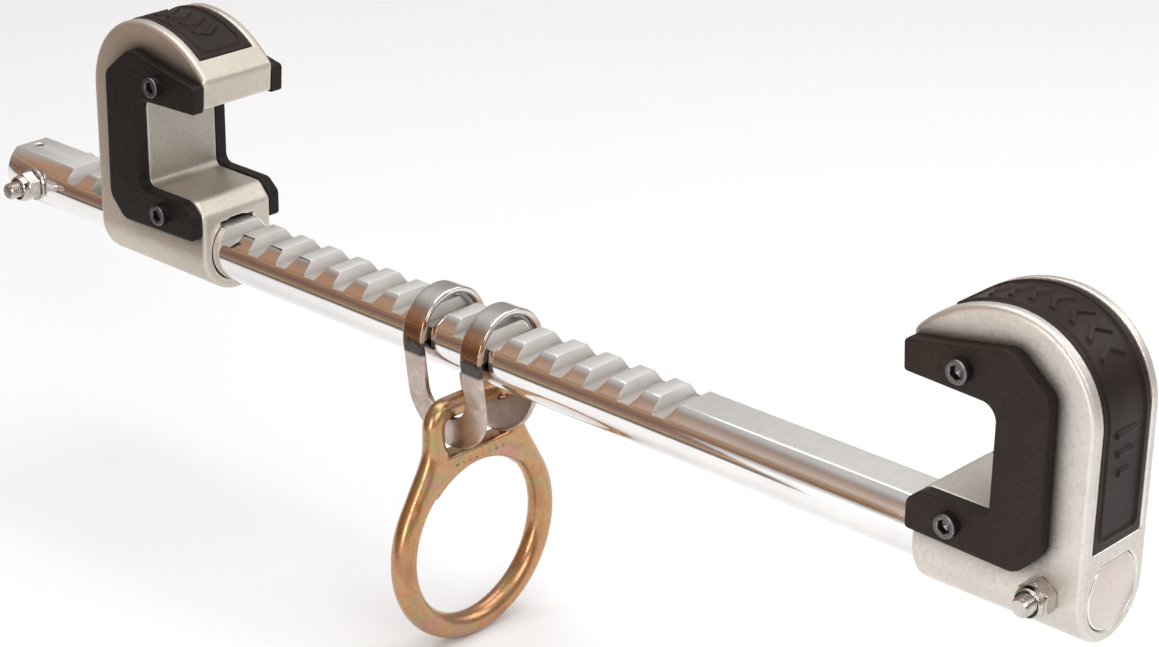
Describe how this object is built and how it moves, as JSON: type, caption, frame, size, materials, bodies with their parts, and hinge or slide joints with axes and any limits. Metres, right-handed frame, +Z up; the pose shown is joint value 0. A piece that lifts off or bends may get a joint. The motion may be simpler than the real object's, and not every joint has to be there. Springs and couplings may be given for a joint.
{
  "type": "beam clamp",
  "caption": "Beam clamp anchor: notched round bar with a bolted jaw and a spring-locked sliding jaw that hook onto a beam flange, and a sliding saddle that carries a load ring.",
  "frame": {"origin": "middle of the flange seat, the underside of the fixed jaw's upper arm", "axes": "+X along the bar from the sliding jaw towards the fixed jaw, +Z up through the jaws, and the ring hangs towards -Z"},
  "size_m": [0.7811, 0.12, 0.3055],
  "materials": {
    "bar_aluminium": "polished round, satin milled flats",
    "jaw_casting": "fine blasted, satin",
    "pad_plastic": "fine textured",
    "black_screw": "black oxide",
    "band_rubber": "matte moulded",
    "zinc_hardware": "bright zinc plate",
    "nut_nylon": "smooth moulded",
    "lock_steel": "ground",
    "tab_plastic": "moulded",
    "spring_steel": "bright drawn wire",
    "liner_plastic": "smooth moulded",
    "saddle_stainless": "tumbled, half bright stainless",
    "ring_yellow_zinc": "yellow zinc plate, iridescent"
  },
  "bodies": {
    "frame": {"notched_bar": "bar_aluminium", "fixed_jaw": "jaw_casting", "fixed_pad_front": "pad_plastic", "fixed_pad_back": "pad_plastic", "fixed_pad_screws": "black_screw", "fixed_band": "band_rubber", "jaw_bolt": "zinc_hardware", "stop_bolt": "zinc_hardware", "stop_washer": "zinc_hardware", "lock_nuts": "zinc_hardware", "nut_inserts": "nut_nylon"},
    "slider": {"sliding_jaw": "jaw_casting", "sliding_pad_front": "pad_plastic", "sliding_pad_back": "pad_plastic", "sliding_pad_screws": "black_screw", "sliding_band": "band_rubber", "pawl_spring": "spring_steel", "spring_plug": "black_screw"},
    "lock": {"lock_pawl": "lock_steel", "trigger_tab": "tab_plastic", "tab_screw": "zinc_hardware"},
    "glide": {"saddle_liner": "liner_plastic"},
    "carrier": {"saddle": "saddle_stainless"},
    "ring": {"anchor_ring": "ring_yellow_zinc"}
  },
  "joints": [
    {"name": "jaw_slide", "type": "slide", "parent": "frame", "child": "slider", "axis": [1, 0, 0], "range_m": [-0.0466, 0.0932]},
    {"name": "lock_lift", "type": "slide", "parent": "slider", "child": "lock", "axis": [0, 0, 1], "range_m": [0, 0.009], "stiffness_N_per_m": 400, "springref_m": -0.02, "deforming": ["pawl_spring"]},
    {"name": "saddle_slide", "type": "slide", "parent": "frame", "child": "glide", "axis": [1, 0, 0], "range_m": [-0.06, 0.275]},
    {"name": "saddle_swing", "type": "hinge", "parent": "glide", "child": "carrier", "pos_m": [-0.32825, 0, -0.0892], "axis": [1, 0, 0], "continuous": true},
    {"name": "ring_swing", "type": "hinge", "parent": "carrier", "child": "ring", "pos_m": [-0.32825, 0, -0.123], "axis": [0, 1, 0], "range_deg": [-65, 65]}
  ]
}
